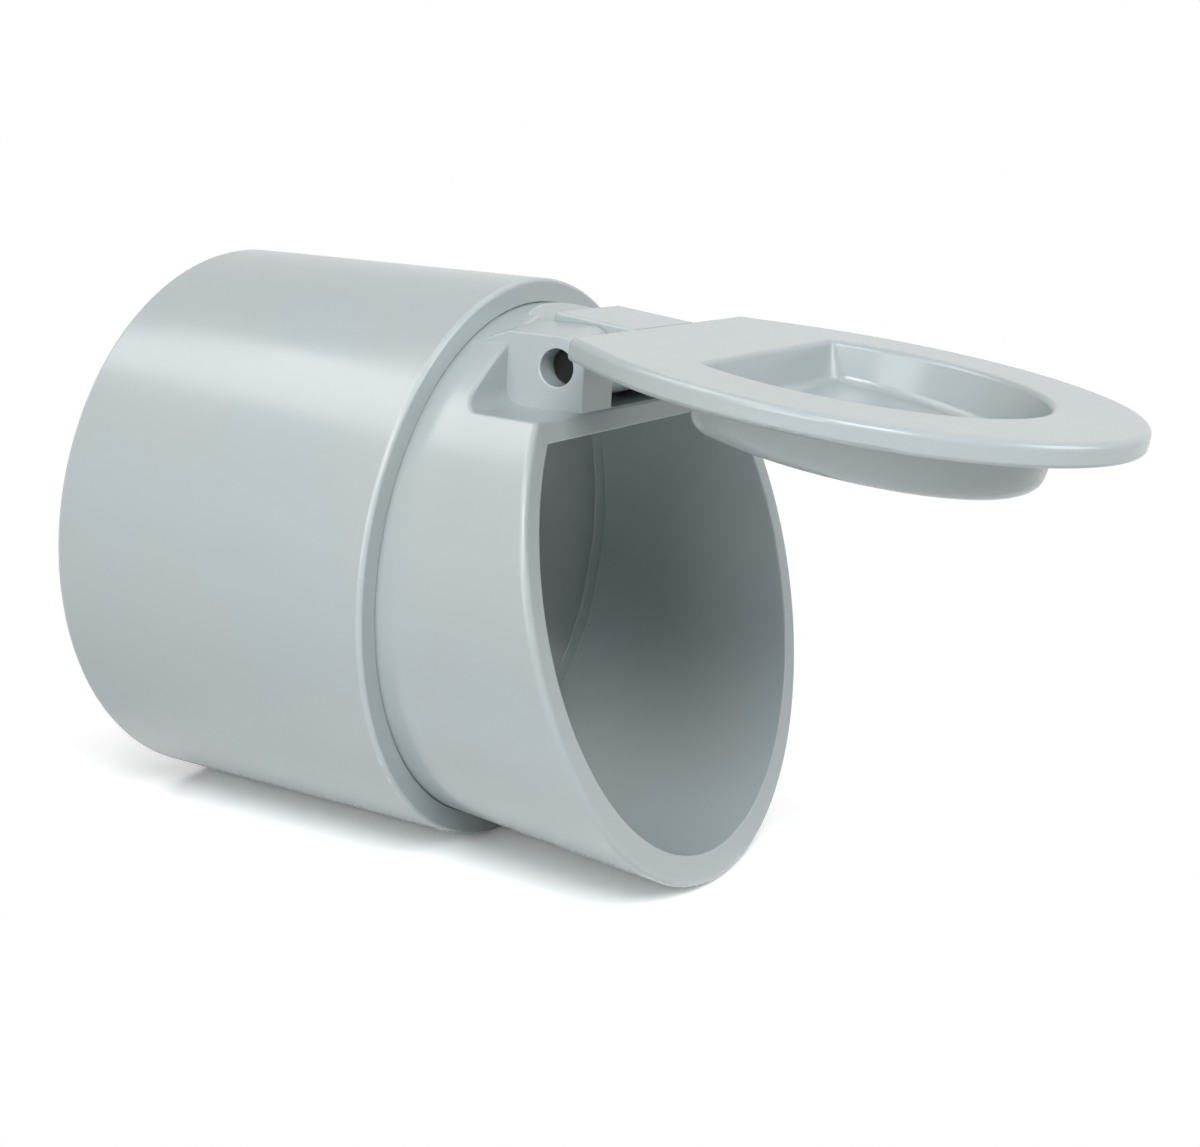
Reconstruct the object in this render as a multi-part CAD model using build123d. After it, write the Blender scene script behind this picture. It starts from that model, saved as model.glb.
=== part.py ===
"""Flap end cap for a 110 mm drain pipe: sleeve, raked nose, hinged flap and its pin.

Millimetres. +X runs along the pipe towards the mouth, +Z is up and the hinge lies along Y.
The origin is the centre of the seat that the pipe's end stops against.
"""
import os
from math import acos, atan2, cos, hypot, radians, sin, sqrt, tan

from build123d import *

# Sleeve that takes the pipe
pipe_bore_r = 55.2
pipe_depth = 63.0
sleeve_wall = 3.2
lead_in = 1.5
lead_in_rise = 0.8
stop_width = 3.2
stop_height = 4.2
sleeve_edge_round = 1.0

# Spigot of the nose in the front of the sleeve
spigot_step = 1.7
spigot_depth = 8.1
spigot_wall = 3.3
spigot_fit = 0.1
spigot_chamfer = 0.8

# Nose in front of the sleeve
nose_length = 35.6
mouth_rake = 15.4
outer_flare = 4.75
inner_flare = 1.25
rim_round = 1.2
rim_inner_round = 0.4

# Shelf and recesses on top of the nose
shelf_drop = 17.1
shelf_thickness = 4.0
recess_corner = 3.2
recess_edge_round = 0.8
recess_wall = 3.5

# Hinge lugs
block_width = 50.4
slot_width = 26.7
lug_setback = 0.3
lug_crown = 8.0
lug_crown_r = 150.0
lug_front_round = 5.5
lug_edge_round = 0.4
ramp_length = 8.0
ramp_drop = 3.0
slot_ramp_length = 5.5
slot_ramp_depth = 1.8

# Hinge pin and where it lies
pin_height = 7.9
pin_r = 3.55
pin_fit = 0.02
pin_clearance = 0.08
pin_recess = 4.9
pin_end_chamfer = 0.4
seat_distance = 3.9

# Flap
open_droop = 6.0
rim_gap = 0.1
seat_overlap = 2.5
flap_drop = 2.65
flap_thickness = 4.3
flap_rear_overlap = 1.3
shoulder_width = 2.8
flap_corner_round = 1.6
flap_top_round = 1.3
flap_bottom_round = 0.9

# Knuckle of the flap
knuckle_side_gap = 0.35
knuckle_floor_gap = 1.4
knuckle_rear = 8.8
knuckle_rear_gap = 1.85
knuckle_edge_round = 0.6
knuckle_shelf_gap = 0.5

# Half-moon pocket in the flap and the dish that holds it
pocket_inset = 17.65
pocket_chord = 17.8
pocket_depth = 8.8
pocket_draft = 2.2
pocket_tilt = 3.4
pocket_top_corner = 0.8
pocket_floor_corner = 5.5
pocket_rim_round = 1.2
pocket_floor_round = 2.0
dish_wall = 3.0
dish_floor = 4.4
dish_bottom_round = 3.0

# Sizes that follow
sleeve_r = pipe_bore_r + sleeve_wall
stop_r = pipe_bore_r - stop_height
spigot_r = pipe_bore_r - spigot_step
spigot_bore_r = spigot_r - spigot_wall
sleeve_front_x = stop_width + spigot_depth
mouth_x = sleeve_front_x + nose_length
rake = radians(mouth_rake)
shelf_z = spigot_r - shelf_drop
ceiling_z = shelf_z - shelf_thickness
hinge_z = shelf_z + pin_height
hinge_x = mouth_x - hinge_z * tan(rake) - seat_distance / cos(rake)
recess_x = hinge_x - knuckle_rear - knuckle_rear_gap
lug_front_x = mouth_x - shelf_z * tan(rake) - lug_setback
flap_under = seat_distance + rim_gap
flap_top = flap_under + flap_thickness
mouth_bore_r = spigot_bore_r + (mouth_x - stop_width) * tan(radians(inner_flare))
flap_r = mouth_bore_r + seat_overlap
flap_centre = hinge_z / cos(rake) + seat_distance * tan(rake) + flap_drop
shelf_edge = pin_height / cos(rake) + seat_distance * tan(rake)
flap_rear = shelf_edge - flap_rear_overlap
knuckle_width = slot_width - 2 * knuckle_side_gap
knuckle_r = pin_height - knuckle_floor_gap
lug_bore_r = pin_r + pin_fit
knuckle_bore_r = pin_r + pin_clearance
pocket_r = flap_r - pocket_inset
reach = 2 * sleeve_r


def outer_r(x):
    """Radius of the nose's flaring outside at x."""
    return spigot_r + max(0.0, x - sleeve_front_x) * tan(radians(outer_flare))


def block_between(x0, x1, width, z0, z1):
    """Box centred on the XZ plane."""
    return Pos((x0 + x1) / 2, 0, (z0 + z1) / 2) * Box(x1 - x0, width, z1 - z0)


def turned(points):
    """Solid turned about the pipe axis from a closed outline of (x, radius) points."""
    return revolve(make_face(Plane.XZ * Polyline(*points, close=True)), Axis.X)


def cross_cylinder(radius, width):
    """Cylinder about the hinge axis."""
    return Pos(hinge_x, 0, hinge_z) * Rot(90, 0, 0) * Cylinder(radius, width)


def coupling_sleeve():
    """Socket with a lead-in, an inner stop ring and a seat for the nose."""
    seat_r = spigot_r + spigot_fit
    sleeve = turned([
        (-pipe_depth, pipe_bore_r + lead_in_rise),
        (-pipe_depth + lead_in, pipe_bore_r),
        (0, pipe_bore_r),
        (0, stop_r),
        (stop_width, stop_r),
        (stop_width, seat_r),
        (sleeve_front_x, seat_r),
        (sleeve_front_x, sleeve_r),
        (-pipe_depth, sleeve_r),
    ])
    rims = sleeve.edges().filter_by(GeomType.CIRCLE).group_by(SortBy.RADIUS)[-1]
    return fillet(rims, sleeve_edge_round)


def nose_round(end_x):
    """Solid spigot and flaring nose out to end_x, before the mouth is cut."""
    return turned([
        (stop_width, 0),
        (stop_width, spigot_r - spigot_chamfer),
        (stop_width + spigot_chamfer, spigot_r),
        (sleeve_front_x, spigot_r),
        (end_x, outer_r(end_x)),
        (end_x, 0),
    ])


def waterway(end_x):
    """Flaring bore of the nose, flat under the shelf."""
    bore = turned([
        (stop_width, 0),
        (stop_width, spigot_bore_r),
        (end_x, spigot_bore_r + (end_x - stop_width) * tan(radians(inner_flare))),
        (end_x, 0),
    ])
    return bore - block_between(recess_x - recess_wall, reach, 2 * reach, ceiling_z, reach)


def hinge_block():
    """Block for both lugs: shallow crown on top, rounded in front, sinking into the nose behind."""
    height = hinge_z + lug_crown - ceiling_z
    upright = Rectangle(block_width, height, align=(Align.CENTER, Align.MAX))
    section = upright & Pos(0, -lug_crown_r) * Circle(lug_crown_r)
    rear = Plane((recess_x, 0, hinge_z + lug_crown), x_dir=(0, 1, 0), z_dir=(1, 0, 0))
    block = extrude(rear * section, lug_front_x - recess_x)
    block = fillet(block.edges().group_by(Axis.X)[-1].sort_by(Axis.Z)[-1], lug_front_round)
    sides = block.faces().filter_by(Axis.Y)
    block = fillet([upper_edge(side) for side in sides], lug_edge_round)
    return block + extrude(rear * section, ramp_length, dir=(-ramp_length, 0, -ramp_drop))


def upper_edge(face):
    """Straight edge along X at the top of a side face."""
    return face.edges().filter_by(Axis.X).sort_by(Axis.Z)[-1]


def slot_tool():
    """Slot between the lugs, with a sloping rear end at the top."""
    slot = block_between(recess_x, reach, slot_width, shelf_z, reach)
    rear_x = recess_x - slot_ramp_length
    slope = Polyline(
        (recess_x, hinge_z + lug_crown - slot_ramp_depth),
        (rear_x, outer_r(rear_x)),
        (rear_x, reach),
        (recess_x, reach),
        close=True,
    )
    return slot + extrude(Plane.XZ * make_face(slope), slot_width / 2, both=True)


def nose_body():
    """Nose with its raked mouth, shelf, side recesses and hinge lugs."""
    end_x = mouth_x + reach * tan(rake)
    solid = nose_round(end_x)
    mouth_plane = Plane(origin=(mouth_x, 0, 0), x_dir=(0, 1, 0), z_dir=(cos(rake), 0, sin(rake)))
    shell = solid - mouth_plane * Pos(0, 0, reach / 2) * Box(2 * reach, 2 * reach, reach)
    shell = fillet(mouth_arcs(shell)[-1], rim_round)
    recess = block_between(recess_x, reach, 2 * reach, shelf_z, reach)
    foot = recess.edges().filter_by(Axis.Y).group_by(Axis.Z)[0].sort_by(Axis.X)[0]
    shell -= fillet(foot, recess_corner)
    shell = fillet(shell.edges().filter_by(on_recess_border), recess_edge_round)
    shell += hinge_block()
    shell -= waterway(end_x)
    shell -= slot_tool()
    shell -= cross_cylinder(lug_bore_r, block_width + 1)
    return fillet(mouth_arcs(shell)[-2], rim_inner_round)


def mouth_arcs(shell):
    """Curved edges of the raked mouth, shortest first."""
    arcs = shell.edges().filter_by(on_mouth).filter_by(GeomType.LINE, reverse=True)
    return arcs.sort_by(SortBy.LENGTH)


def on_mouth(edge):
    """True for an edge that lies in the raked plane of the mouth."""
    points = [edge @ part for part in (0, 0.5, 1)]
    return all(abs((p.X - mouth_x) * cos(rake) + p.Z * sin(rake)) < 0.001 for p in points)


def on_recess_border(edge):
    """True for an edge where the recess meets the nose's outside."""
    points = [edge @ part for part in (0, 0.5, 1)]
    outside = all(abs(hypot(p.Y, p.Z) - outer_r(p.X)) < 0.01 for p in points)
    return outside and all(p.X > recess_x - 0.01 and p.Z > shelf_z - 0.01 for p in points)


def tangent_point(x, y, radius, side):
    """Point where the line from (x, y) touches a circle about the origin."""
    turn = atan2(y, x) + side * acos(radius / hypot(x, y))
    return radius * cos(turn), radius * sin(turn)


def half_moon(radius, chord, corner):
    """Circle about the flap's centre, cut off straight on the hinge side."""
    straight = Pos(-chord - reach / 2, 0) * Rectangle(reach, reach)
    shape = Circle(radius) - straight
    return Pos(flap_centre, 0) * fillet(shape.vertices(), corner)


def pocket_tool(grow, top, bottom):
    """Tapering half-moon from top to bottom, larger all round by grow."""
    chord = pocket_chord + grow
    radius = pocket_r + grow
    mouth = Pos(0, 0, top) * half_moon(radius, chord, pocket_top_corner + grow)
    floor = half_moon(radius - pocket_draft, chord - pocket_draft, pocket_floor_corner + grow)
    lean = Pos(flap_centre, 0, bottom) * Rot(0, pocket_tilt, 0) * Pos(-flap_centre, 0, 0)
    return loft([lean * floor, mouth])


def plate_outline():
    """Circle with straight shoulders that run to a straight edge at the hinge."""
    chord = flap_centre - flap_rear
    half_width = sqrt(flap_r ** 2 - chord ** 2) + shoulder_width
    x, y = tangent_point(-chord, half_width, flap_r, -1)
    shoulders = make_face(Polyline((-chord, half_width), (x, y), (x, -y), (-chord, -half_width), close=True))
    straight = Pos(-chord - reach / 2, 0) * Rectangle(reach, reach)
    outline = Circle(flap_r) - straight + shoulders
    corners = outline.vertices().group_by(Axis.X)[0]
    return Pos(flap_centre, 0) * fillet(corners, flap_corner_round)


def flap_plate():
    """Cover plate with rounded edges."""
    plate = Pos(0, 0, flap_under) * extrude(plate_outline(), flap_thickness)
    plate = fillet(plate.edges().group_by(Axis.Z)[-1], flap_top_round)
    return fillet(plate.edges().group_by(Axis.Z)[0], flap_bottom_round)


def knuckle():
    """Knuckle round the pin, flush with the top of the plate and round below."""
    root = shelf_edge - knuckle_shelf_gap
    outline = Polyline(
        (-knuckle_rear, flap_top),
        (-knuckle_rear, 0),
        tangent_point(-knuckle_rear, 0, knuckle_r, 1),
        (0, 0),
        tangent_point(root, flap_under, knuckle_r, -1),
        (root, flap_under),
        (root, flap_top),
        close=True,
    )
    face = make_face(outline) + Circle(knuckle_r)
    body = extrude(Plane.XZ * face, knuckle_width / 2, both=True)
    top = body.edges().group_by(Axis.Z)[-1].sort_by(Axis.X)[:-1]
    rear = body.edges().filter_by(Axis.Z).group_by(Axis.X)[0]
    return fillet(top + rear, knuckle_edge_round)


def flap():
    """Flap in its own frame: hinge axis at the origin, plate along +X."""
    dish = pocket_tool(dish_wall, flap_under + flap_thickness / 2, flap_top - pocket_depth - dish_floor)
    dish = fillet(dish.faces().sort_by(Axis.Z)[0].edges(), dish_bottom_round)
    pocket = pocket_tool(0, flap_top, flap_top - pocket_depth)
    body = flap_plate() + dish + knuckle()
    body -= fillet(pocket.faces().sort_by(Axis.Z)[0].edges(), pocket_floor_round)
    top = body.faces().group_by(Axis.Z)[-1].sort_by(SortBy.AREA)[-1]
    body = fillet(top.inner_wires()[0].edges(), pocket_rim_round)
    body -= Rot(90, 0, 0) * Cylinder(knuckle_bore_r, knuckle_width + 1)
    return Pos(hinge_x, 0, hinge_z) * Rot(0, open_droop, 0) * body


def hinge_pin():
    """Plain pin, recessed in the lug holes."""
    pin = cross_cylinder(pin_r, block_width - 2 * pin_recess)
    return chamfer(pin.edges().filter_by(GeomType.CIRCLE), pin_end_chamfer)


def main():
    """Writes one STEP file for each piece."""
    os.makedirs("parts", exist_ok=True)
    pieces = {
        "coupling_sleeve": coupling_sleeve(),
        "nose_body": nose_body(),
        "flap": flap(),
        "hinge_pin": hinge_pin(),
    }
    for name, piece in pieces.items():
        export_step(piece, f"parts/{name}.step")
        box = piece.bounding_box()
        print(name, round(piece.volume / 1000, 2), "cm3, corners", box.min, box.max)


main()
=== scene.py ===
"""Looks of the flap end cap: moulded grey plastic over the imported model, on a pale lit floor."""

from math import cos, inf, pi, radians, sin

import bmesh
import bpy
from bpy.props import FloatProperty, FloatVectorProperty, IntProperty, PointerProperty
from bpy.types import Operator, Panel, PropertyGroup
from mathutils import Matrix, Vector
from mathutils.geometry import intersect_point_line


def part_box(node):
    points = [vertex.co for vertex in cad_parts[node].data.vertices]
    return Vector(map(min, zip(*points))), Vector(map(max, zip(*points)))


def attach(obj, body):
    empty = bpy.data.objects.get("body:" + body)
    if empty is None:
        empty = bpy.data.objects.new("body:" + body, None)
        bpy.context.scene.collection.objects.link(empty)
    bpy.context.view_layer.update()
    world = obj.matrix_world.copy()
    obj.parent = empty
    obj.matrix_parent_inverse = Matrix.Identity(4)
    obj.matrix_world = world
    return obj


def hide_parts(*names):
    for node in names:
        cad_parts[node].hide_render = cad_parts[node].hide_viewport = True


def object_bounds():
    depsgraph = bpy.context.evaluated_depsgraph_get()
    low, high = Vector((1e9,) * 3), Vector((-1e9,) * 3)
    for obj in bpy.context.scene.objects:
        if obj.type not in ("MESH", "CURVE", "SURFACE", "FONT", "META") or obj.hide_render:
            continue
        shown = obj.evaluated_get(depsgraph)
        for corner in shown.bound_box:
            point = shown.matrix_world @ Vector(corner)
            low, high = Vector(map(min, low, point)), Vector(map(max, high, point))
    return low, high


bl_info = {
    "name": "Flap End Cap",
    "version": (1, 0, 0),
    "blender": (4, 5, 0),
    "location": "View3D > Sidebar > End Cap",
    "description": "Dresses the packed flap end cap in moulded plastic and sets it on a lit floor",
    "category": "Object",
}

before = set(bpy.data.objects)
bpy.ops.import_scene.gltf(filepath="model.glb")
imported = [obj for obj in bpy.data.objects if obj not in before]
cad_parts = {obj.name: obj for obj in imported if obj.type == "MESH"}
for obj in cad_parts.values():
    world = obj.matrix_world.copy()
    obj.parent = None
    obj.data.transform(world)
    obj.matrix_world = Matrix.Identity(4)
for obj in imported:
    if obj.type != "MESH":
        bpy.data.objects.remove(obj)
cad_low, cad_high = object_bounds()
sleeve_low, sleeve_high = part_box("coupling_sleeve")
pin_low, pin_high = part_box("hinge_pin")

# Mesh layers
KEPT_NORMAL = "kept_normal"
EDGE_MARK = "rounded_edge"

# Lengths in metres
SAME_CORNER = 2e-6  # packed triangles share the corners that are nearer than this
SAME_POINT = 1e-6  # points of a new piece that are nearer than this are one
FLOOR_GAP = 0.00005  # room between the cap and the floor

# Rounding and shading
FLAT_TURN = radians(0.02)  # packed triangles that turn less make one flat face
CRISP_TURN = radians(35)  # packed edges whose normals turn more are crisp
BLEND_TURN = radians(50)  # normals beside a rounding that turn less count for its own
SHARP_TURN = radians(32)  # edges of a new piece that turn more are shaded sharp
FACE_WEIGHT = 100  # large faces lead the shading of a new piece
ROOM_IN_ROUNDINGS = 1.5  # face that an edge needs on each side to be rounded
SLANT_LIMIT = 0.5  # sine of the slant at which a face's far side isn't square across
RING_ROUND_TILT = (0.02, 0.98)  # X of the normals on a ring's roundings and tapers

# Spots per metre in the patterns of the plastics
DRIFT_SPOTS = 22.0
FLOW_SPOTS = 260.0
SPECK_SPOTS = 1500.0
WAVE_SPOTS = 45.0
SKIN_SPOTS = 1400.0
DUST_SPOTS = 900.0
TURNING_SPOTS = 1800.0

# Scale of a pattern along the three axes
EVEN = (1.0, 1.0, 1.0)
FLOW_STRETCH = (0.12, 1.0, 1.0)
TURNING_STRETCH = (0.2, 1.0, 0.2)

DARKER_SHARE = 0.93  # flow lines and specks, as a share of the grey
DUST_LIFT = 0.01  # how much dust pales the pin
PIN_EDGE_HIGHLIGHT = 0.03  # painted highlight: how much paler the pin's rounded edges are
PLASTIC_IOR = 1.53
PIN_SPECULAR = 0.25

# Floor, sky and camera
FLOOR_TONE = 0.7  # floor as it throws light back
SEEN_TONE = 2.1  # floor as the camera sees it in the shadow's reach
WHITE_RANGE = (1.0, 1.6)  # shadow reaches from the centre over which the floor turns white
REAR_SKY_RANGE = (-0.7, 0.3)  # X of the direction over which the rear sky brightens
REAR_SKY_SHARE = 0.15  # darkest rear sky, as a share of its strength
SENSOR_WIDTH = 36.0
CAMERA_REACH = (0.01, 20.0)

# Middle, width and height of each lamp in metres
LAMPS = {
    "strip": ((-0.36, -0.42, 0.71), 0.95, 0.28),
    "side": ((0.0, -1.15, 0.3), 0.6, 0.6),
    "front": ((0.45, -0.6, 0.62), 0.4, 0.4),
    "right": ((0.95, 0.35, 0.5), 0.5, 0.5),
    "rear": ((0.0, 0.6, 0.8), 0.8, 0.5),
    "top": ((-0.35, -0.2, 0.95), 0.5, 0.5),
}
GLOSS_ONLY_LAMP = "strip"


def length_prop(name, description, default):
    """Length in metres, shown in the user's units."""
    return FloatProperty(name=name, description=description, default=default, min=0.0,
                         precision=5, subtype="DISTANCE", unit="LENGTH")


def angle_prop(name, description, default):
    """Angle in radians, shown in the user's units."""
    return FloatProperty(name=name, description=description, default=default,
                         subtype="ANGLE", unit="ROTATION")


def place_prop(name, description, default):
    """Point or reach in metres along the three axes."""
    return FloatVectorProperty(name=name, description=description, default=default, size=3,
                               subtype="XYZ", unit="LENGTH")


def share_prop(name, description, default):
    """Share from nought to one."""
    return FloatProperty(name=name, description=description, default=default,
                         min=0.0, max=1.0, subtype="FACTOR")


def colour_prop(name, description, default):
    """Linear colour."""
    return FloatVectorProperty(name=name, description=description, default=default, size=3,
                               min=0.0, max=1.0, subtype="COLOR")


def power_prop(name, description, default):
    """Lamp power in watts."""
    return FloatProperty(name=name, description=description, default=default, min=0.0,
                         subtype="POWER", unit="POWER")


class CapSizes(PropertyGroup):
    """Sizes of the pieces that are built new, and the roundings of all."""

    socket_r: length_prop(
        "Socket radius", "Inside of the sleeve that takes the pipe", 0.0552)
    stop_r: length_prop(
        "Stop radius", "Inside of the ring that the pipe's end stops against", 0.051)
    stop_width: length_prop(
        "Stop width", "Width of the stop ring along the pipe", 0.0032)
    seat_r: length_prop(
        "Seat radius", "Seat of the nose in the front of the sleeve", 0.0536)
    lead_in: length_prop(
        "Lead-in length", "Length of the taper at the socket's rear end", 0.0015)
    lead_in_rise: length_prop(
        "Lead-in rise", "How much the taper opens the socket", 0.0008)
    outer_edge_round: length_prop(
        "Sleeve edge round", "Rounding of the sleeve's outer edges", 0.001)
    inner_edge_round: length_prop(
        "Inner edge round", "Rounding of the sleeve's inner edges", 0.0003)
    moulded_edge: length_prop(
        "Moulded edge", "Rounding of the nose's and the flap's crisp edges", 0.0003)
    pin_edge_round: length_prop(
        "Pin edge round", "Rounding of the pin's ends", 0.0004)
    turn_steps: IntProperty(
        name="Turn steps", description="Faces round a full turn", default=288, min=24)


class CapFinish(PropertyGroup):
    """Colours and finish of the plastics."""

    grey: colour_prop(
        "Grey", "Main grey of the moulded pieces", (0.50, 0.565, 0.585))
    grey_warm: colour_prop(
        "Warm grey", "Tone that the grey drifts towards", (0.515, 0.565, 0.57))
    # Painted highlight: the paler grey that the rounded edges are mixed towards
    grey_edge_highlight: colour_prop(
        "Edge grey", "Paler grey of handled edges", (0.60, 0.66, 0.675))
    pin_black: colour_prop(
        "Pin black", "Colour of the hinge pin", (0.012, 0.012, 0.013))
    grey_roughness: share_prop("Grey roughness", "Roughness of the moulded grey", 0.22)
    pin_roughness: share_prop("Pin roughness", "Roughness of the pin", 0.48)


class StageSettings(PropertyGroup):
    """Camera, light and floor."""

    azimuth: angle_prop("Azimuth", "Camera's turn round the cap", radians(27.676))
    elevation: angle_prop("Elevation", "Camera's height angle", radians(13.291))
    roll: angle_prop("Roll", "Camera's roll", radians(3.449))
    distance: length_prop("Distance", "From the camera to its target", 0.36949)
    target: place_prop(
        "Target", "Point that the camera looks at", (0.02927, 0.0, -0.000006))
    lens: FloatProperty(
        name="Lens", description="Focal length", default=54.122, subtype="DISTANCE_CAMERA")
    floor_size: length_prop("Floor size", "Side of the floor", 6.0)
    shadow_centre: place_prop(
        "Shadow centre", "Middle of the floor that shows the shadow", (0.006, -0.02, 0.0))
    shadow_reach: place_prop(
        "Shadow reach", "How far from there the floor shows it", (0.068, 0.052, 1.0))
    sky_strength: FloatProperty(
        name="Sky strength", description="Light of the sky on the cap", default=0.03, min=0.0)
    strip_power: power_prop(
        "Strip power", "Power of the long lamp that gleams along the sleeve", 3.0)
    side_power: power_prop(
        "Side power", "Power of the broad lamp beside the sleeve", 4.5)
    front_power: power_prop(
        "Front power", "Power of the lamp before the mouth", 4.7)
    right_power: power_prop(
        "Right power", "Power of the lamp beyond the flap, on the far side", 3.4)
    rear_power: power_prop(
        "Rear power", "Power of the lamp over the far side", 0.7)
    top_power: power_prop(
        "Top power", "Power of the lamp above the sleeve", 1.5)


def cleared_tree(owner):
    """Empty node tree of a material or a world."""
    owner.use_nodes = True
    owner.node_tree.nodes.clear()
    return owner.node_tree


def add_node(tree, kind, inputs=(), **settings):
    """New node with its settings and unlinked inputs."""
    node = tree.nodes.new(kind)
    for name, value in settings.items():
        setattr(node, name, value)
    for name, value in dict(inputs).items():
        node.inputs[name].default_value = value
    return node


def new_plastic(name):
    """Node tree and shader of a new material."""
    tree = cleared_tree(bpy.data.materials.new(name))
    shader = add_node(tree, "ShaderNodeBsdfPrincipled")
    output = add_node(tree, "ShaderNodeOutputMaterial")
    tree.links.new(shader.outputs["BSDF"], output.inputs["Surface"])
    return tree, shader


def place_pattern(tree, scale):
    """Object coordinates in metres, scaled along each axis."""
    place = add_node(tree, "ShaderNodeTexCoord")
    mapping = add_node(tree, "ShaderNodeMapping", {"Scale": scale})
    tree.links.new(place.outputs["Object"], mapping.inputs["Vector"])
    return mapping.outputs["Vector"]


def noise(tree, vector, spots, detail=3.0):
    """Noise factor on a vector, with so many spots to the metre."""
    node = add_node(tree, "ShaderNodeTexNoise",
                    {"Scale": spots, "Detail": detail, "Roughness": 0.5})
    tree.links.new(vector, node.inputs["Vector"])
    return node.outputs["Fac"]


def remap(tree, value, source, target):
    """Value moved from one range to another, and kept within it."""
    node = add_node(tree, "ShaderNodeMapRange",
                    {"From Min": source[0], "From Max": source[1],
                     "To Min": target[0], "To Max": target[1]})
    tree.links.new(value, node.inputs["Value"])
    return node.outputs["Result"]


def mix_colours(tree, factor, first, second):
    """Mix of two colours, each a socket or a fixed colour."""
    node = add_node(tree, "ShaderNodeMix", data_type="RGBA")
    tree.links.new(factor, node.inputs["Factor"])
    for name, colour in (("A", first), ("B", second)):
        socket = next(s for s in node.inputs if s.name == name and s.type == "RGBA")
        if isinstance(colour, bpy.types.NodeSocket):
            tree.links.new(colour, socket)
        else:
            socket.default_value = (*colour, 1.0)
    return next(s for s in node.outputs if s.type == "RGBA")


def math_node(tree, operation, first, second):
    """Arithmetic on two values, each a socket or a number."""
    node = add_node(tree, "ShaderNodeMath", operation=operation)
    for slot, value in enumerate((first, second)):
        if isinstance(value, bpy.types.NodeSocket):
            tree.links.new(value, node.inputs[slot])
        else:
            node.inputs[slot].default_value = value
    return node.outputs["Value"]


def edge_mask(tree):
    """One on the rounded edges, nought elsewhere."""
    return add_node(tree, "ShaderNodeAttribute", attribute_name=EDGE_MARK).outputs["Fac"]


def bump(tree, height, distance, strength, normal=None):
    """Bump from a height, laid over an earlier normal."""
    node = add_node(tree, "ShaderNodeBump", {"Distance": distance, "Strength": strength})
    tree.links.new(height, node.inputs["Height"])
    if normal is not None:
        tree.links.new(normal, node.inputs["Normal"])
    return node.outputs["Normal"]


def moulded_grey():
    """Semi-gloss grey with slow tone drift, flow lines, a painted highlight along the rounded
    edges and a faint mould texture.
    """
    finish = bpy.context.scene.cap_finish
    tree, shader = new_plastic("moulded_grey")
    even = place_pattern(tree, EVEN)
    along = place_pattern(tree, FLOW_STRETCH)
    drift = noise(tree, even, DRIFT_SPOTS)
    flow = noise(tree, along, FLOW_SPOTS, detail=4.0)
    speck = noise(tree, even, SPECK_SPOTS, detail=2.0)

    darker = [c * DARKER_SHARE for c in finish.grey]
    warmth = remap(tree, drift, (0.35, 0.65), (0.0, 1.0))
    tone = mix_colours(tree, warmth, finish.grey, finish.grey_warm)
    streaks = remap(tree, flow, (0.2, 0.8), (0.0, 0.12))
    tone = mix_colours(tree, streaks, tone, darker)
    specks = remap(tree, speck, (0.3, 0.9), (0.0, 0.15))
    tone = mix_colours(tree, specks, tone, darker)
    # Painted highlight: the rounded edges are mixed towards the paler grey, by a share that drifts
    mask = edge_mask(tree)
    edge_highlight_share = remap(tree, drift, (0.3, 0.7), (0.35, 0.9))
    edges = math_node(tree, "MULTIPLY", mask, edge_highlight_share)
    tree.links.new(mix_colours(tree, edges, tone, finish.grey_edge_highlight), shader.inputs["Base Color"])

    base = finish.grey_roughness
    rough = remap(tree, drift, (0.3, 0.7), (base - 0.03, base + 0.04))
    streaks = remap(tree, flow, (0.3, 0.8), (0.0, 0.02))
    rough = math_node(tree, "ADD", rough, streaks)
    rougher_edges = math_node(tree, "MULTIPLY", edges, 0.06)
    rough = math_node(tree, "ADD", rough, rougher_edges)
    tree.links.new(rough, shader.inputs["Roughness"])

    waves = noise(tree, even, WAVE_SPOTS, detail=1.0)
    waves = bump(tree, waves, distance=0.0001, strength=0.12)
    skin = noise(tree, even, SKIN_SPOTS, detail=2.0)
    skin = bump(tree, skin, distance=0.00002, strength=0.12, normal=waves)
    tree.links.new(skin, shader.inputs["Normal"])
    shader.inputs["IOR"].default_value = PLASTIC_IOR


def pin_plastic():
    """Plain black plastic with dust, a painted highlight on its rounded edges and turning marks.
    """
    finish = bpy.context.scene.cap_finish
    tree, shader = new_plastic("pin_plastic")
    even = place_pattern(tree, EVEN)
    across = place_pattern(tree, TURNING_STRETCH)

    dust = noise(tree, even, DUST_SPOTS, detail=4.0)
    dusty = [c + DUST_LIFT for c in finish.pin_black]
    cover = remap(tree, dust, (0.5, 0.8), (0.0, 0.6))
    tone = mix_colours(tree, cover, finish.pin_black, dusty)
    # Painted highlight: the pin's rounded edges are made paler
    edge_highlight_tone = [c + PIN_EDGE_HIGHLIGHT for c in finish.pin_black]
    tone = mix_colours(tree, edge_mask(tree), tone, edge_highlight_tone)
    tree.links.new(tone, shader.inputs["Base Color"])

    base = finish.pin_roughness
    rough = remap(tree, dust, (0.3, 0.7), (base - 0.06, base + 0.08))
    tree.links.new(rough, shader.inputs["Roughness"])

    marks = noise(tree, across, TURNING_SPOTS, detail=2.0)
    marks = bump(tree, marks, distance=0.00003, strength=0.3)
    tree.links.new(marks, shader.inputs["Normal"])
    shader.inputs["Specular IOR Level"].default_value = PIN_SPECULAR


def linked_object(name, data):
    """Object linked to the scene."""
    made = bpy.data.objects.new(name, data)
    bpy.context.scene.collection.objects.link(made)
    return made


def mesh_of(shape, name):
    """Mesh of a bmesh, which is freed."""
    mesh = bpy.data.meshes.new(name)
    shape.to_mesh(mesh)
    shape.free()
    return mesh


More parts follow.
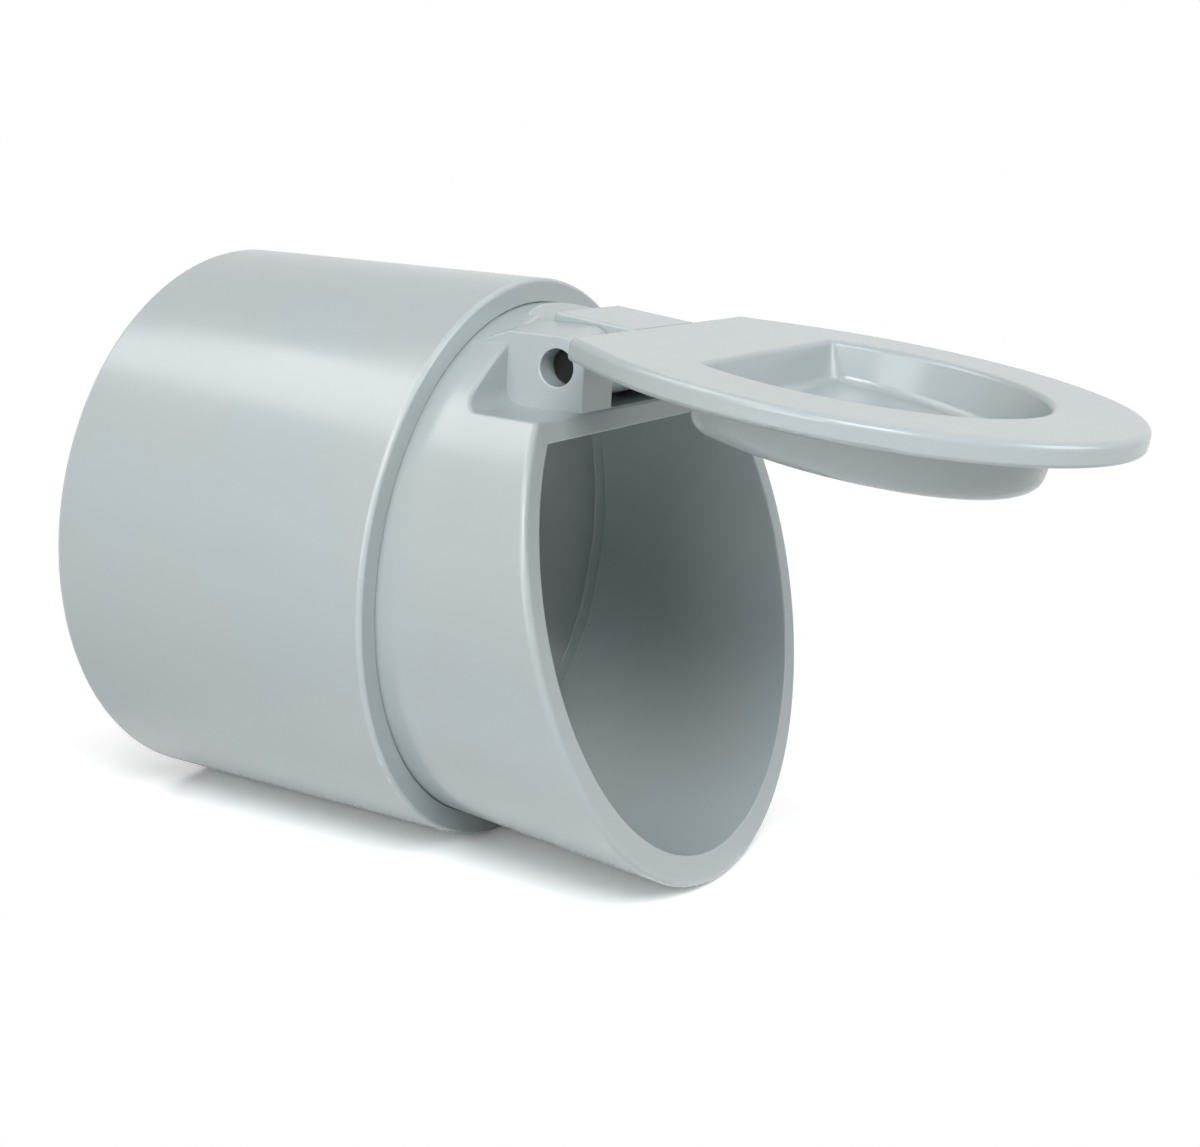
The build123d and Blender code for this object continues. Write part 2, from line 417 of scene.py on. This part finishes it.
def shade_piece(piece):
    """Smooth shading, from the kept normals if there are any, or else led by the large faces."""
    mesh = piece.data
    mesh.shade_smooth()
    kept = mesh.attributes.get(KEPT_NORMAL)
    if kept:
        normals = [corner.vector.copy() for corner in kept.data]
        mesh.attributes.remove(kept)
        mesh.normals_split_custom_set(normals)
        return
    mesh.set_sharp_from_angle(angle=SHARP_TURN)
    even = piece.modifiers.new("even_normals", "WEIGHTED_NORMAL")
    even.mode = "FACE_AREA"
    even.weight = FACE_WEIGHT
    even.keep_sharp = True


def finished_piece(shape, name, plastic, body, node):
    """Turns a bmesh into a piece that stands for a CAD node and moves with its body."""
    piece = linked_object(name, mesh_of(shape, name))
    shade_piece(piece)
    piece.data.materials.append(bpy.data.materials[plastic])
    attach(piece, body)
    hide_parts(node)


def mark_edges(shape, faces):
    """Marks the faces of rounded edges for the material, which paints a highlight on them."""
    layers = shape.loops.layers.float
    mark = layers.get(EDGE_MARK) or layers.new(EDGE_MARK)
    for face in faces:
        for loop in face.loops:
            loop[mark] = 1.0


def ring_of(outline, steps):
    """Ring turned about the pipe's axis from a closed outline of (x, radius, rounding)."""
    shape = bmesh.new()
    verts = [shape.verts.new((x, 0.0, r)) for x, r, _ in outline]
    for first, second in zip(verts, verts[1:] + verts[:1]):
        shape.edges.new((first, second))
    for vert, (_, _, rounding) in zip(verts, outline):
        if rounding > 0:
            bmesh.ops.bevel(shape, geom=[vert], affect="VERTICES", offset=rounding,
                            offset_type="OFFSET", segments=5, profile=0.5,
                            clamp_overlap=True, material=-1)
    bmesh.ops.spin(shape, geom=shape.verts[:] + shape.edges[:], axis=(1, 0, 0),
                   cent=(0, 0, 0), dvec=(0, 0, 0), angle=2 * pi, steps=steps,
                   use_merge=True, use_duplicate=False)
    bmesh.ops.remove_doubles(shape, verts=shape.verts, dist=SAME_POINT)
    bmesh.ops.recalc_face_normals(shape, faces=shape.faces)
    least, most = RING_ROUND_TILT
    mark_edges(shape, [f for f in shape.faces if least < abs(f.normal.x) < most])
    return shape


def copy_with_normals(node):
    """Merged copy of a CAD node that keeps each corner's normal in a layer."""
    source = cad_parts[node].data
    shape = bmesh.new()
    shape.from_mesh(source)
    kept = shape.loops.layers.float_vector.new(KEPT_NORMAL)
    for face, polygon in zip(shape.faces, source.polygons):
        for loop, corner in zip(face.loops, polygon.loop_indices):
            loop[kept] = source.corner_normals[corner].vector
    bmesh.ops.remove_doubles(shape, verts=shape.verts, dist=SAME_CORNER)
    bmesh.ops.dissolve_limit(shape, angle_limit=FLAT_TURN, verts=shape.verts,
                             edges=shape.edges)
    return shape, kept


def room_beside(edge, face):
    """Width of a face at an edge, from the edge's middle square across."""
    start, end = (v.co for v in edge.verts)
    middle, along = (start + end) / 2, (end - start).normalized()
    rooms = []
    for other in face.edges:
        if other == edge:
            continue
        first, second = (v.co for v in other.verts)
        share = intersect_point_line(middle, first, second)[1]
        across = first.lerp(second, min(max(share, 0.0), 1.0)) - middle
        if abs(across.normalized().dot(along)) < SLANT_LIMIT:
            rooms.append(across.length)
    return min(rooms, default=inf)


def turn_across(edge, kept):
    """Least angle between the kept normals on an edge's two sides."""
    turns = []
    for vert in edge.verts:
        first, second = (loop[kept] for loop in vert.link_loops if loop.face in edge.link_faces)
        turns.append(first.angle(second, 0.0))
    return min(turns)


def crisp_edges(shape, kept, rounding):
    """Outer edges that are crisp in the CAD and have enough face on both sides to be rounded."""
    room = ROOM_IN_ROUNDINGS * rounding
    edges = [e for e in shape.edges if e.is_convex and turn_across(e, kept) > CRISP_TURN]
    return [e for e in edges if min(room_beside(e, f) for f in e.link_faces) > room]


def blend_normals(rounds, kept):
    """Gives the faces of the roundings normals that meet those of the faces beside them."""
    strips = set(rounds)
    for face in rounds:
        for loop in face.loops:
            beside = [other[kept] for other in loop.vert.link_loops if other.face not in strips]
            near = [normal for normal in beside if normal.angle(face.normal, pi) < BLEND_TURN]
            loop[kept] = sum(near, Vector()).normalized() if near else loop.vert.normal


def rounded_copy(node, rounding):
    """Copy of a CAD node whose crisp outer edges are rounded."""
    shape, kept = copy_with_normals(node)
    made = bmesh.ops.bevel(shape, geom=crisp_edges(shape, kept, rounding), affect="EDGES",
                           offset=rounding, offset_type="OFFSET", segments=3, profile=0.5,
                           clamp_overlap=False, loop_slide=True, material=-1)
    shape.normal_update()
    blend_normals(made["faces"], kept)
    mark_edges(shape, made["faces"])
    return shape


class CAP_OT_plastics(Operator):
    """Makes the two plastics"""

    bl_idname = "cap.plastics"
    bl_label = "Plastics"

    def execute(self, context):
        moulded_grey()
        pin_plastic()
        return {"FINISHED"}


class CAP_OT_sleeve(Operator):
    """Builds the sleeve that takes the pipe"""

    bl_idname = "cap.sleeve"
    bl_label = "Sleeve"

    def execute(self, context):
        sizes = context.scene.cap_sizes
        outer_r = sleeve_high.z
        rear, front = sleeve_low.x, sleeve_high.x
        soft, hard = sizes.outer_edge_round, sizes.inner_edge_round
        outline = [
            (rear, sizes.socket_r + sizes.lead_in_rise, hard),
            (rear + sizes.lead_in, sizes.socket_r, hard),
            (0.0, sizes.socket_r, 0.0),
            (0.0, sizes.stop_r, hard),
            (sizes.stop_width, sizes.stop_r, hard),
            (sizes.stop_width, sizes.seat_r, 0.0),
            (front, sizes.seat_r, hard),
            (front, outer_r, soft),
            (rear, outer_r, soft),
        ]
        shape = ring_of(outline, sizes.turn_steps)
        finished_piece(shape, "sleeve", "moulded_grey", "cap",
                       "coupling_sleeve")
        return {"FINISHED"}


class CAP_OT_nose(Operator):
    """Builds the nose with its mouth, shelf and hinge lugs"""

    bl_idname = "cap.nose"
    bl_label = "Nose"

    def execute(self, context):
        shape = rounded_copy("nose_body", context.scene.cap_sizes.moulded_edge)
        finished_piece(shape, "nose", "moulded_grey", "cap", "nose_body")
        return {"FINISHED"}


class CAP_OT_flap(Operator):
    """Builds the hinged flap with its pocket"""

    bl_idname = "cap.flap"
    bl_label = "Flap"

    def execute(self, context):
        shape = rounded_copy("flap", context.scene.cap_sizes.moulded_edge)
        finished_piece(shape, "flap_cover", "moulded_grey", "flap", "flap")
        return {"FINISHED"}


class CAP_OT_pin(Operator):
    """Builds the hinge pin"""

    bl_idname = "cap.pin"
    bl_label = "Hinge pin"

    def execute(self, context):
        centre = (pin_low + pin_high) / 2
        radius, half = (pin_high.z - pin_low.z) / 2, (pin_high.y - pin_low.y) / 2
        shape = bmesh.new()
        bmesh.ops.create_cone(shape, cap_ends=True, segments=96, radius1=radius,
                              radius2=radius, depth=2 * half)
        ends = [e for e in shape.edges
                if all(abs(abs(v.co.z) - half) < SAME_POINT for v in e.verts)]
        made = bmesh.ops.bevel(shape, geom=ends, affect="EDGES",
                               offset=context.scene.cap_sizes.pin_edge_round,
                               offset_type="OFFSET", segments=4, profile=0.5, material=-1)
        mark_edges(shape, made["faces"])
        along_hinge = Matrix.Translation(centre) @ Matrix.Rotation(pi / 2, 4, "X")
        bmesh.ops.transform(shape, matrix=along_hinge, verts=shape.verts)
        finished_piece(shape, "pin", "pin_plastic", "cap", "hinge_pin")
        return {"FINISHED"}


def even_tone(level):
    """Neutral colour of one level."""
    return (level, level, level, 1.0)


def mix_shaders(tree, factor, first, second):
    """Mix of two shaders."""
    node = add_node(tree, "ShaderNodeMixShader")
    tree.links.new(factor, node.inputs["Fac"])
    tree.links.new(first, node.inputs[1])
    tree.links.new(second, node.inputs[2])
    return node.outputs["Shader"]


def seen_directly(tree):
    """One where the camera looks, straight or by a gloss or through a material, else nought."""
    path = add_node(tree, "ShaderNodeLightPath")
    seen = math_node(tree, "MAXIMUM", path.outputs["Is Camera Ray"], path.outputs["Is Glossy Ray"])
    seen = math_node(tree, "MAXIMUM", seen, path.outputs["Is Transmission Ray"])
    first = math_node(tree, "LESS_THAN", path.outputs["Diffuse Depth"], 0.5)
    return math_node(tree, "MULTIPLY", seen, first)


def floor_material(centre, reach):
    """Pale floor that shows the shadow near the cap, and white to the camera further out."""
    material = bpy.data.materials.new("pale_floor")
    tree = cleared_tree(material)
    seen = seen_directly(tree)
    plain = add_node(tree, "ShaderNodeBsdfDiffuse", {"Color": even_tone(FLOOR_TONE)})
    shaded = add_node(tree, "ShaderNodeBsdfDiffuse", {"Color": even_tone(SEEN_TONE)})
    white = add_node(tree, "ShaderNodeEmission", {"Color": even_tone(1.0), "Strength": 1.0})
    place = add_node(tree, "ShaderNodeTexCoord")
    about = add_node(tree, "ShaderNodeMapping", {"Location": centre, "Scale": reach},
                     vector_type="TEXTURE")
    away = add_node(tree, "ShaderNodeVectorMath", operation="LENGTH")
    tree.links.new(place.outputs["Object"], about.inputs["Vector"])
    tree.links.new(about.outputs["Vector"], away.inputs[0])
    far = remap(tree, away.outputs["Value"], WHITE_RANGE, (0.0, 1.0))
    shown = mix_shaders(tree, far, shaded.outputs["BSDF"], white.outputs["Emission"])
    output = add_node(tree, "ShaderNodeOutputMaterial")
    surface = mix_shaders(tree, seen, plain.outputs["BSDF"], shown)
    tree.links.new(surface, output.inputs["Surface"])
    return material


def make_floor(settings):
    """Floor just under the cap."""
    shape = bmesh.new()
    bmesh.ops.create_grid(shape, x_segments=4, y_segments=4, size=settings.floor_size / 2)
    bmesh.ops.translate(shape, vec=(0.0, 0.0, cad_low.z - FLOOR_GAP), verts=shape.verts)
    floor = linked_object("floor", mesh_of(shape, "floor"))
    floor.data.materials.append(floor_material(settings.shadow_centre, settings.shadow_reach))


def make_world(strength):
    """Faint sky, dimmer to the rear, that the camera and the gloss see as white."""
    world = bpy.data.worlds.new("studio")
    bpy.context.scene.world = world
    tree = cleared_tree(world)
    seen = seen_directly(tree)
    place = add_node(tree, "ShaderNodeTexCoord")
    parts = add_node(tree, "ShaderNodeSeparateXYZ")
    tree.links.new(place.outputs["Generated"], parts.inputs["Vector"])
    dimmed = remap(tree, parts.outputs["X"], REAR_SKY_RANGE, (REAR_SKY_SHARE * strength, strength))
    unseen = math_node(tree, "SUBTRACT", 1.0, seen)
    lit = math_node(tree, "MULTIPLY", dimmed, unseen)
    level = math_node(tree, "ADD", lit, seen)
    sky = add_node(tree, "ShaderNodeBackground", {"Color": even_tone(1.0)})
    output = add_node(tree, "ShaderNodeOutputWorld")
    tree.links.new(level, sky.inputs["Strength"])
    tree.links.new(sky.outputs["Background"], output.inputs["Surface"])


def make_lamp(name, middle, width, height, power):
    """Soft rectangular lamp that looks at the origin."""
    lamp = bpy.data.lights.new(name, "AREA")
    lamp.shape = "RECTANGLE"
    lamp.size, lamp.size_y = width, height
    lamp.energy = power
    made = linked_object(name, lamp)
    made.location = middle
    made.rotation_mode = "QUATERNION"
    made.rotation_quaternion = (-Vector(middle)).to_track_quat("-Z", "Y")
    made.visible_camera = False
    return made


def make_camera(settings):
    """Camera at the photograph's viewing angle, for a frame of 1200 by 1147."""
    azimuth, elevation, roll = settings.azimuth, settings.elevation, settings.roll
    back = Vector((sin(azimuth) * cos(elevation), -cos(azimuth) * cos(elevation), sin(elevation)))
    level = Vector((cos(azimuth), sin(azimuth), 0.0))
    upright = back.cross(level)
    right = level * cos(roll) + upright * sin(roll)
    up = upright * cos(roll) - level * sin(roll)
    data = bpy.data.cameras.new("camera")
    data.lens = settings.lens
    data.sensor_fit = "AUTO"
    data.sensor_width = SENSOR_WIDTH
    data.clip_start, data.clip_end = CAMERA_REACH
    camera = linked_object("camera", data)
    place = Vector(settings.target) + back * settings.distance
    turn = Matrix((right, up, back)).transposed().to_4x4()
    camera.matrix_world = Matrix.Translation(place) @ turn
    bpy.context.scene.camera = camera


class CAP_OT_stage(Operator):
    """Sets the camera, the floor, the sky and the lamps"""

    bl_idname = "cap.stage"
    bl_label = "Stage"

    def execute(self, context):
        settings = context.scene.cap_stage
        context.scene.view_settings.view_transform = "Standard"
        make_camera(settings)
        make_floor(settings)
        make_world(settings.sky_strength)
        for name, (middle, width, height) in LAMPS.items():
            power = getattr(settings, f"{name}_power")
            lamp = make_lamp(f"{name}_lamp", middle, width, height, power)
            lamp.visible_diffuse = name != GLOSS_ONLY_LAMP
        return {"FINISHED"}


class CAP_PT_parts(Panel):
    """Lists the pieces of the end cap"""

    bl_idname = "CAP_PT_parts"
    bl_label = "End Cap"
    bl_space_type = "VIEW_3D"
    bl_region_type = "UI"
    bl_category = "End Cap"

    def draw(self, context):
        for operator in OPERATORS:
            self.layout.operator(operator.bl_idname)


OPERATORS = (CAP_OT_plastics, CAP_OT_sleeve, CAP_OT_nose, CAP_OT_flap, CAP_OT_pin, CAP_OT_stage)
GROUPS = {"cap_sizes": CapSizes, "cap_finish": CapFinish, "cap_stage": StageSettings}
CLASSES = (*GROUPS.values(), *OPERATORS, CAP_PT_parts)


def register():
    """Registers the groups, the operators and the panel."""
    for cls in CLASSES:
        bpy.utils.register_class(cls)
    for name, group in GROUPS.items():
        setattr(bpy.types.Scene, name, PointerProperty(type=group))


def unregister():
    """Removes what register() added."""
    for name in GROUPS:
        delattr(bpy.types.Scene, name)
    for cls in reversed(CLASSES):
        bpy.utils.unregister_class(cls)


def main():
    """Builds the cap and its stage."""
    register()
    bpy.ops.cap.plastics()
    bpy.ops.cap.sleeve()
    bpy.ops.cap.nose()
    bpy.ops.cap.flap()
    bpy.ops.cap.pin()
    bpy.ops.cap.stage()


if __name__ == "__main__":
    main()
